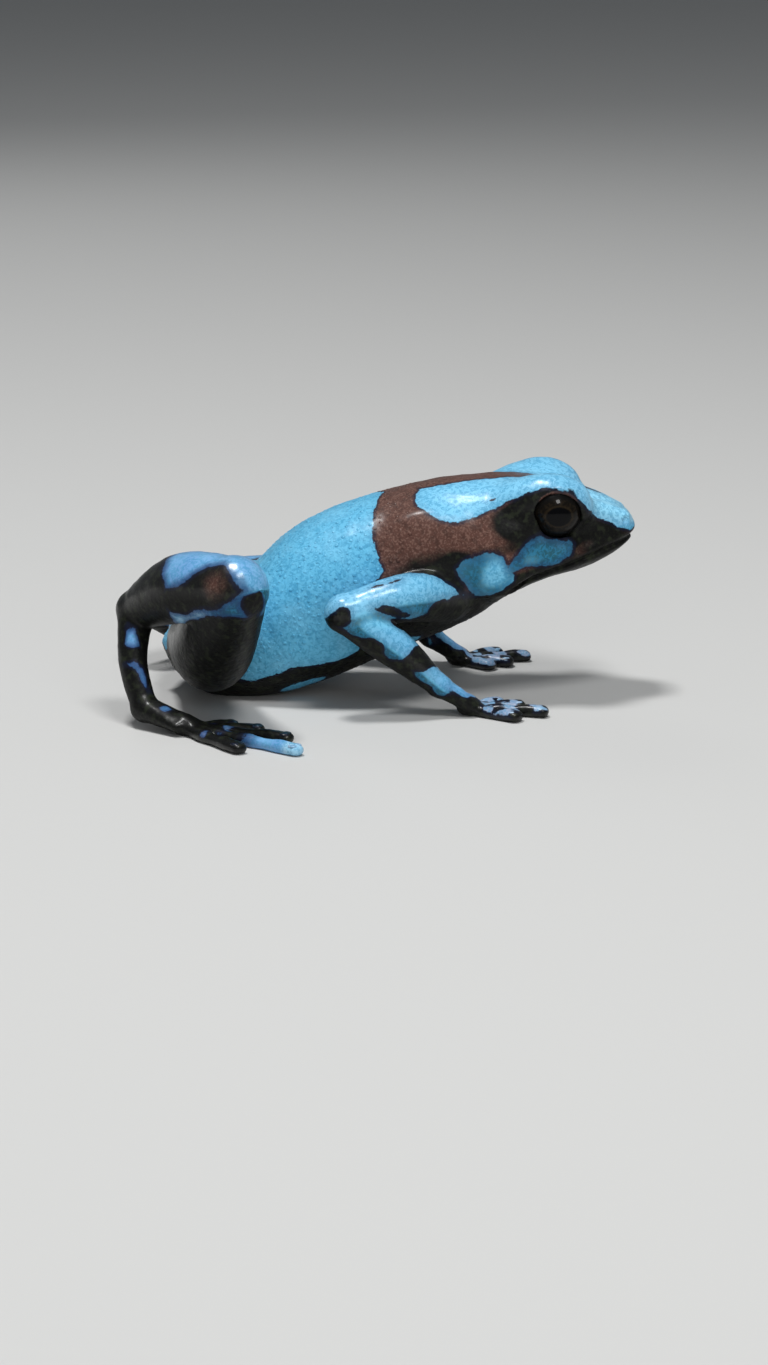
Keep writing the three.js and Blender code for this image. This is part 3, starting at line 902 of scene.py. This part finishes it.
def paintCoat(mesh):
    # the markings are kept on the skin's own points, so that they follow it in every view
    places = pointsOf(mesh)
    nearest = np.full(len(places), 9.0)
    found = []
    for coatOf, given, ends, reach in coatParts():
        low, high = np.min(ends, 0) - reach, np.max(ends, 0) + reach
        inside = np.flatnonzero(((places > low) & (places < high)).all(1))
        values, gap = coatOf(*given, places[inside])
        found.append((inside, values, gap))
        nearest[inside] = np.minimum(nearest[inside], gap)
    total = np.full(len(places), 1e-9)
    sums = {name: np.zeros(len(places)) for name in coatPlain}
    for inside, values, gap in found:
        weight = np.exp(-(gap - nearest[inside]) / patchBlend)
        total[inside] += weight
        for name in sums:
            sums[name][inside] += weight * values[name]
    sums["grain"] *= smoothStep(places[:, 2], 0.5, 1.0)  # none where it lies on the floor
    for name, summed in sums.items():
        keepOn(mesh, name, summed / total)


def roughen(mesh, swellScale=0.9, swellHeight=0.035, foldScale=(2.6, 0.9, 2.2), foldHeight=0.02):
    # flesh is never quite even: slow swells and faint folds along the skin, none where it lies on the floor
    places = pointsOf(mesh)
    normals = np.empty(places.size, np.float32)
    mesh.vertices.foreach_get("normal", normals)
    rise = swellHeight * strayOf(places, swellScale) + foldHeight * strayOf(places * foldScale, 1)
    rise = rise * smoothStep(places[:, 2], 0.15, 0.6)
    moved = places + normals.reshape(-1, 3) * rise[:, None]
    mesh.vertices.foreach_set("co", moved.astype(np.float32).ravel())
    mesh.update()


skinMesh = thinned(meshFromField("skin", frog), skinFaces)
skinMesh.name = "skin"
skinMesh.polygons.foreach_set("use_smooth", np.ones(len(skinMesh.polygons), bool))
paintCoat(skinMesh)
roughen(skinMesh)
print("coat painted")
low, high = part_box("eye_right")
shift = (low + high) / 2 * 1000 - Vector(headPlace("right", eye["centre"]))
toWorld = Matrix.Scale(0.001, 4) @ Matrix.Translation(shift)
skinMesh.transform(toWorld)
skin = addObject("skin", skinMesh)
fleshNodes = [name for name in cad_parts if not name.startswith("eye_")]
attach(skin, "root")
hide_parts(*fleshNodes)


class Shade:
    # a socket of a shader that can be reckoned with
    def __init__(self, shader, socket):
        self.shader, self.socket = shader, socket

    def __add__(self, other):
        return self.shader.maths("ADD", self, other)

    __radd__ = __add__

    def __sub__(self, other):
        return self.shader.maths("SUBTRACT", self, other)

    def __rsub__(self, other):
        return self.shader.maths("SUBTRACT", other, self)

    def __mul__(self, other):
        return self.shader.maths("MULTIPLY", self, other)

    __rmul__ = __mul__

    def __pow__(self, other):
        return self.shader.maths("POWER", self, other)


class Nodes:
    # a tree of nodes
    def __init__(self, tree):
        self.tree = tree

    def node(self, kind, settings=None, values=(), output=0):
        made = self.tree.nodes.new(kind)
        for name, value in (settings or {}).items():
            setattr(made, name, value)
        self.fill(made, values)
        return Shade(self, made.outputs[output] if made.outputs else None)

    def fill(self, made, values):
        for name, value in values.items() if isinstance(values, dict) else enumerate(values):
            socket = made.inputs[name]
            if isinstance(value, Shade):
                self.tree.links.new(value.socket, socket)
            elif isinstance(value, tuple) and len(value) == 3 and socket.type == "RGBA":
                socket.default_value = (*value, 1)
            else:
                socket.default_value = value

    def maths(self, operation, *values):
        return self.node("ShaderNodeMath", {"operation": operation}, values)


class Shader(Nodes):
    # a material and its nodes
    def __init__(self, name):
        self.material = bpy.data.materials.new(name)
        self.material.use_nodes = True
        super().__init__(self.material.node_tree)
        self.surface = self.tree.nodes["Principled BSDF"]

    def finish(self, **values):
        self.fill(self.surface, {name.replace("_", " "): value for name, value in values.items()})
        return self.material

    def spots(self, perUnit=1000.0):
        # places on the piece in millimetres
        place = self.node("ShaderNodeTexCoord", output="Object")
        return self.node("ShaderNodeVectorMath", {"operation": "SCALE"}, {0: place, "Scale": perUnit})

    def noise(self, place, scale, detail=2.0, distortion=0.0):
        values = {"Vector": place, "Scale": scale, "Detail": detail, "Distortion": distortion}
        return self.node("ShaderNodeTexNoise", {}, values)

    def kept(self, name):
        return self.node("ShaderNodeAttribute", {"attribute_name": name}, output="Fac")

    def step(self, value, low, high, start=0.0, end=1.0):
        settings = {"interpolation_type": "SMOOTHSTEP"}
        return self.node("ShaderNodeMapRange", settings, [value, low, high, start, end])

    def layered(self, colour, *layers):
        # colours laid over one another, each by its share
        for share, over in layers:
            values = {0: share, 6: colour, 7: over}
            colour = self.node("ShaderNodeMix", {"data_type": "RGBA"}, values, output=2)
        return colour

    def bump(self, height, distance, strength=1.0, normal=None):
        values = {"Height": height, "Distance": distance, "Strength": strength}
        if normal:
            values["Normal"] = normal
        return self.node("ShaderNodeBump", {}, values)


coatColours = {
    "turquoise": (0.125, 0.47, 0.71),
    "teal": (0.018, 0.105, 0.15),
    "violet": (0.115, 0.255, 0.57),
    "lilac": (0.34, 0.38, 0.52),
    "sky": (0.30, 0.69, 0.92),
    "paintedWrinkleShade": (0.035, 0.25, 0.45),
    "navy": (0.015, 0.04, 0.13),
    "bronze": (0.093, 0.042, 0.032),
    "speckle": (0.24, 0.14, 0.11),
    "black": (0.004, 0.004, 0.004),
    "olive": (0.015, 0.018, 0.011),
    "rim": (0.006, 0.008, 0.025),
}


def skinMaterial():
    shader = Shader("moist skin")
    place = shader.spots()
    c = coatColours
    wander = (shader.noise(place, 1.1, 3.0) - 0.5) * 0.5 + (shader.noise(place, 5.5, 2.0) - 0.5) * 0.16
    edge = shader.kept("blue") + wander
    isBlue = shader.step(edge, -0.045, 0.055)
    # short wrinkles wind over the blue, darkened by painted shade in their troughs; the blue is paler in
    # clouds and navy along its softer edges
    winding = shader.maths("SINE", shader.noise(place, 2.4, 1.0, 1.0) * 17.0)
    wrinkles = (winding * 0.5 + 0.5) * shader.step(shader.noise(place, 3.2, 1.0), 0.34, 0.54)
    tint = shader.kept("tint")
    # tint and paleness carry painted shade below and painted light above, as well as the blue's own tones
    blue = shader.layered(
        c["teal"],
        (shader.step(tint, -1.0, 0.05), c["turquoise"]),
        (shader.step(tint, 0.0, 1.0), c["violet"]),
        (shader.step(tint, 1.0, 1.6), c["lilac"]),
        (shader.kept("pale"), c["sky"]),
        (wrinkles * 0.6, c["paintedWrinkleShade"]),
        (shader.step(shader.noise(place, 0.45, 2.0), 0.42, 0.7, 0.0, 0.18), c["sky"]),
        (shader.kept("soft") * shader.step(edge, 0.75, 0.0, 0.0, 0.85), c["navy"]),
    )
    # brown finely speckled with pale bronze, going over into mottled black
    speckle = shader.step(shader.noise(place, 6.5, 2.0, 0.3), 0.46, 0.66)
    bronze = shader.layered(
        c["bronze"],
        (speckle * 0.5, c["speckle"]),
        (shader.step(shader.noise(place, 2.2, 2.0), 0.45, 0.7) * 0.35, c["black"]),
    )
    black = shader.layered(
        c["black"],
        (shader.step(shader.noise(place, 1.9, 3.0), 0.5, 0.66), c["olive"]),
        (speckle * 0.3, c["olive"]),
    )
    dark = shader.kept("dark") + (shader.noise(place, 0.8, 3.0) - 0.5) * 0.5
    colour = shader.layered(
        bronze,
        (shader.step(dark, 0.2, 0.85), black),
        (shader.step(edge, -0.34, -0.06, 0.0, 0.75), c["rim"]),
        (isBlue, blue),
    )
    shine = shader.kept("shine")
    fine = shader.noise(place, 7.0, 2.0)
    grains = shader.node("ShaderNodeTexVoronoi", {"feature": "SMOOTH_F1"}, {"Vector": place, "Scale": 3.0})
    relief = shader.bump(grains * (1.15 - shine), 0.00005, 0.6)
    relief = shader.bump(wrinkles * isBlue, 0.00002, 0.4, relief)
    relief = shader.bump(shader.noise(place, 8.0, 3.0), 0.00003, 0.4, relief)
    return shader.finish(
        Base_Color=colour,
        Roughness=0.5 - shine * 0.15 + (fine - 0.5) * 0.2,
        Normal=relief,
        Coat_Weight=shine,
        Coat_Roughness=0.24,
        Specular_IOR_Level=0.13,
    )


skin.data.materials.append(skinMaterial())


class Layout(Nodes):
    # Geometry Nodes with named inputs, given as kind of socket and value
    def __init__(self, name, given):
        super().__init__(bpy.data.node_groups.new(name, "GeometryNodeTree"))
        self.given = {"Geometry": ("Geometry", None), **given}
        for label, (kind, _) in self.given.items():
            self.tree.interface.new_socket(label, in_out="INPUT", socket_type="NodeSocket" + kind)
        self.tree.interface.new_socket("Geometry", in_out="OUTPUT", socket_type="NodeSocketGeometry")
        self.entry = self.tree.nodes.new("NodeGroupInput")

    def input(self, label):
        return Shade(self, self.entry.outputs[label])

    def finish(self, pieces):
        whole = self.node("GeometryNodeRealizeInstances", {}, [pieces])
        smooth = self.node("GeometryNodeSetShadeSmooth", {}, [whole])
        values = {"Geometry": smooth, "Material": self.input("Material")}
        self.node("NodeGroupOutput", {}, [self.node("GeometryNodeSetMaterial", {}, values)])

    def piece(self, name, mesh):
        # the tree's work on a mesh, kept as a plain mesh
        made = addObject(name, mesh)
        modifier = made.modifiers.new("layout", "NODES")
        modifier.node_group = self.tree
        for item in self.tree.interface.items_tree:
            if item.in_out == "INPUT" and item.name != "Geometry":
                modifier[item.identifier] = self.given[item.name][1]
        depsgraph = bpy.context.evaluated_depsgraph_get()
        result = bpy.data.meshes.new_from_object(made.evaluated_get(depsgraph))
        made.modifiers.clear()
        made.data = result
        result.name = name
        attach(made, "root")
        print(name, "has", len(result.polygons), "faces")


# Fine granules stand on the rump, the flanks and the belly
granuleLook = {
    "Apart": ("Float", 0.00036),
    "Thickest": ("Float", 6000000.0),
    "Radius": ("Float", 0.00016),
    "Height": ("Float", 0.22),
    "Smallest": ("Float", 0.45),
    "Seed": ("Int", 7),
    "Material": ("Material", skin.data.materials[0]),
}


def granuleLayout():
    layout = Layout("granules", granuleLook)
    thick = layout.node("GeometryNodeInputNamedAttribute", {"data_type": "FLOAT"}, {"Name": "grain"})
    values = {
        "Mesh": layout.input("Geometry"),
        "Distance Min": layout.input("Apart"),
        "Density Max": layout.input("Thickest"),
        "Density Factor": thick,
        "Seed": layout.input("Seed"),
    }
    spread = layout.node("GeometryNodeDistributePointsOnFaces", {"distribute_method": "POISSON"}, values)
    lean = Shade(layout, spread.socket.node.outputs["Rotation"])
    values = {"Segments": 7, "Rings": 4, "Radius": layout.input("Radius")}
    ball = layout.node("GeometryNodeMeshUVSphere", {}, values)
    flat = layout.node("ShaderNodeCombineXYZ", {}, [1.0, 1.0, layout.input("Height")])
    low = layout.node("GeometryNodeTransform", {}, {"Geometry": ball, "Scale": flat})
    size = layout.node(
        "FunctionNodeRandomValue",
        {"data_type": "FLOAT"},
        {2: layout.input("Smallest"), 3: 1.0, "Seed": layout.input("Seed")},
        output=1,
    )
    placed = {"Points": spread, "Instance": low, "Rotation": lean, "Scale": size}
    layout.finish(layout.node("GeometryNodeInstanceOnPoints", {}, placed))
    return layout


granuleLayout().piece("granules", skin.data.copy())

# Two small scutes lie side by side on the top of each finger's and toe's disc
scuteLook = {
    "Length": ("Float", 0.00038),
    "Width": ("Float", 0.00026),
    "Height": ("Float", 0.00012),
    "Material": ("Material", skin.data.materials[0]),
}
scuteSet = {"back": 0.2, "aside": 0.27, "lift": 0.3, "turn": 0.14}


def wayTo(angle):
    return np.array([math.cos(angle), math.sin(angle), 0])


def scutePoints():
    # a point for each scute, with the way it heads and the coat it wears
    places, headings, blues = [], [], []
    for side in sides:
        for kind, rows in digitsOn[side].items():
            for index, (points, _) in enumerate(rows):
                before, tip = np.array(points[-2:])
                heading = math.atan2(tip[1] - before[1], tip[0] - before[0])
                for hand in (-1, 1):
                    aside = scuteSet["aside"] * wayTo(heading + hand * math.pi / 2)
                    place = tip - scuteSet["back"] * wayTo(heading) + aside
                    places.append(place + [0, 0, scuteSet["lift"]])
                    headings.append(heading - hand * scuteSet["turn"])
                    blues.append(1.0 if kind == "finger" or index == paleToe[side] else -0.1)
    mesh = bpy.data.meshes.new("scutes")
    mesh.from_pydata(places, [], [])
    mesh.transform(toWorld)
    coat = coatValues(np.zeros(len(places)), blue=np.array(blues), tint=1.7, pale=0.25, shine=0.7)
    for name, values in {**coat, "heading": headings}.items():
        keepOn(mesh, name, values)
    return mesh


def scuteLayout():
    layout = Layout("scutes", scuteLook)
    ball = layout.node("GeometryNodeMeshUVSphere", {}, {"Segments": 16, "Rings": 10, "Radius": 1.0})
    sizes = [layout.input(name) for name in ("Length", "Width", "Height")]
    shape = layout.node("ShaderNodeCombineXYZ", {}, sizes)
    scute = layout.node("GeometryNodeTransform", {}, {"Geometry": ball, "Scale": shape})
    heading = layout.node("GeometryNodeInputNamedAttribute", {"data_type": "FLOAT"}, {"Name": "heading"})
    turn = layout.node("ShaderNodeCombineXYZ", {}, {"Z": heading})
    points = layout.node("GeometryNodeMeshToPoints", {}, [layout.input("Geometry")])
    placed = {"Points": points, "Instance": scute, "Rotation": turn}
    layout.finish(layout.node("GeometryNodeInstanceOnPoints", {}, placed))
    return layout


scuteLayout().piece("scutes", scutePoints())

eyeLook = {
    "pupil": [0.92, 0.7],  # half width and half height, in mm
    "facing": [0.12, 0.97, -0.05],
    "cornea": 0.09,
    "rings": 64,
    "around": 96,
}
eyeColours = {
    "iris": (0.005, 0.004, 0.003),
    "fleck": (0.014, 0.010, 0.006),
    "edge": (0.004, 0.004, 0.004),
    "pupil": (0.0015, 0.0015, 0.002),
    "pupilRing": (0.04, 0.027, 0.014),
}


def eyeball(side):
    # a ball with its pole looking out of the lids, a little fuller there
    centre = Vector(headPlace(side, eye["centre"]))
    ahead, outward, up = eyeLook["facing"]
    look = Vector((ahead, -outward if side == "right" else outward, up)).normalized()
    level = look.cross(Vector((0, 0, 1))).normalized()
    tall = level.cross(look)
    mesh = bpy.data.meshes.new("eyeball_" + side)
    rings, around = eyeLook["rings"], eyeLook["around"]
    points, faces, flat = [], [], []
    for i in range(1, rings):
        polar = math.pi * i / rings
        for k in range(around):
            turn = 2 * math.pi * k / around
            radius = eye["radius"] + eyeLook["cornea"] * math.exp(-((polar / 0.62) ** 4))
            u = radius * math.sin(polar) * math.cos(turn)
            v = radius * math.sin(polar) * math.sin(turn)
            points.append(centre + level * u + tall * v + look * radius * math.cos(polar))
            flat.append((u, v, math.cos(polar)))
    front, back = len(points), len(points) + 1
    points.append(centre + look * (eye["radius"] + eyeLook["cornea"]))
    points.append(centre - look * eye["radius"])
    flat += [(0, 0, 1), (0, 0, -1)]
    for i in range(rings - 2):
        for k in range(around):
            a, b = i * around + k, i * around + (k + 1) % around
            faces.append((a, a + around, b + around, b))
    last = (rings - 2) * around
    for k in range(around):
        after = (k + 1) % around
        faces.append((front, k, after))
        faces.append((back, last + after, last + k))
    mesh.from_pydata([tuple(p) for p in points], [], faces)
    mesh.transform(toWorld)
    for name, column in zip(("acrossEye", "upEye", "frontEye"), zip(*flat)):
        keepOn(mesh, name, column)
    mesh.polygons.foreach_set("use_smooth", [True] * len(faces))
    made = addObject("eyeball_" + side, mesh)
    made.data.materials.append(eyeMaterial())
    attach(made, "root")
    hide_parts("eye_" + side)


def eyeMaterial():
    shader = Shader("wet eye")
    c = eyeColours
    wide, tall = eyeLook["pupil"]
    across = shader.kept("acrossEye") * (1 / wide)
    upward = shader.kept("upEye") * (1 / tall)
    away = (across * across + upward * upward) ** 0.5
    front = shader.step(shader.kept("frontEye"), 0.0, 0.1)
    ring = shader.step(away, 1.0, 1.08) * (1 - shader.step(away, 1.1, 1.3))
    colour = shader.layered(
        c["iris"],
        (shader.step(shader.noise(shader.spots(), 4.5, 3.0, 0.5), 0.45, 0.7), c["fleck"]),
        (shader.step(away, 1.5, 2.0), c["edge"]),
        (ring * 0.3, c["pupilRing"]),
        ((1 - shader.step(away, 0.94, 1.03)) * front, c["pupil"]),
    )
    gloss = {"Coat_Weight": 0.22, "Coat_Roughness": 0.02, "Specular_IOR_Level": 0.03}
    return shader.finish(Base_Color=colour, Roughness=0.3, **gloss)


for side in sides:
    eyeball(side)
print("eyes set")

view = {
    "target": [1.5, 0.0, 0.6],
    "distance": 300.0,
    "elevation": 13.0,
    "pixelsPerMm": 13.3,
    "pixelsHigh": 1365,
    "sensor": 36.0,
}


def makeCamera():
    tilt = math.radians(view["elevation"])
    target = (Vector(view["target"]) + shift) * 0.001
    data = bpy.data.cameras.new("camera")
    data.lens = view["sensor"] * view["distance"] * view["pixelsPerMm"] / view["pixelsHigh"]
    data.clip_start = 0.01
    camera = addObject("camera", data)
    away = Vector((0, -math.cos(tilt), math.sin(tilt))) * view["distance"] * 0.001
    camera.location = target + away
    camera.rotation_euler = (math.pi / 2 - tilt, 0, 0)
    bpy.context.scene.camera = camera


lights = {  # place in metres, width, watts, and whether it shows in what is glossy
    "key": [(-0.075, 0.0, 0.42), 0.07, 1.15, True],
    "second": [(0.08, -0.2, 0.37), 0.11, 0.75, True],
    "back": [(-0.12, 0.34, 0.22), 0.16, 0.15, False],
    "front": [(0.06, -0.5, 0.16), 0.4, 0.9, False],
}
lightsAim = Vector((0, 0, 0.01))


def areaLight(name, place, width, watts, glossy):
    data = bpy.data.lights.new(name, "AREA")
    data.size = width
    data.energy = watts
    light = addObject(name, data)
    light.location = place
    light.rotation_euler = (lightsAim - Vector(place)).to_track_quat("-Z", "Y").to_euler()
    light.visible_glossy = glossy


room = {"floorReach": 4.0, "floor": (0.55, 0.55, 0.54), "air": (0.8, 0.85, 0.9), "airStrength": 0.15}


def softWorld():
    world = bpy.data.worlds.new("world")
    world.use_nodes = True
    air = Nodes(world.node_tree)
    air.fill(world.node_tree.nodes["Background"], {"Color": room["air"], "Strength": room["airStrength"]})
    bpy.context.scene.world = world


def paleFloor():
    mesh = bpy.data.meshes.new("floor")
    reach = room["floorReach"]
    corners = [(-reach, -reach, 0), (reach, -reach, 0), (reach, reach, 0), (-reach, reach, 0)]
    mesh.from_pydata(corners, [], [(0, 1, 2, 3)])
    mesh.materials.append(Shader("pale floor").finish(Base_Color=room["floor"], Roughness=0.8))
    addObject("floor", mesh)


makeCamera()
for name, row in lights.items():
    areaLight(name, *row)
softWorld()
bpy.context.scene.view_settings.view_transform = "Standard"
paleFloor()
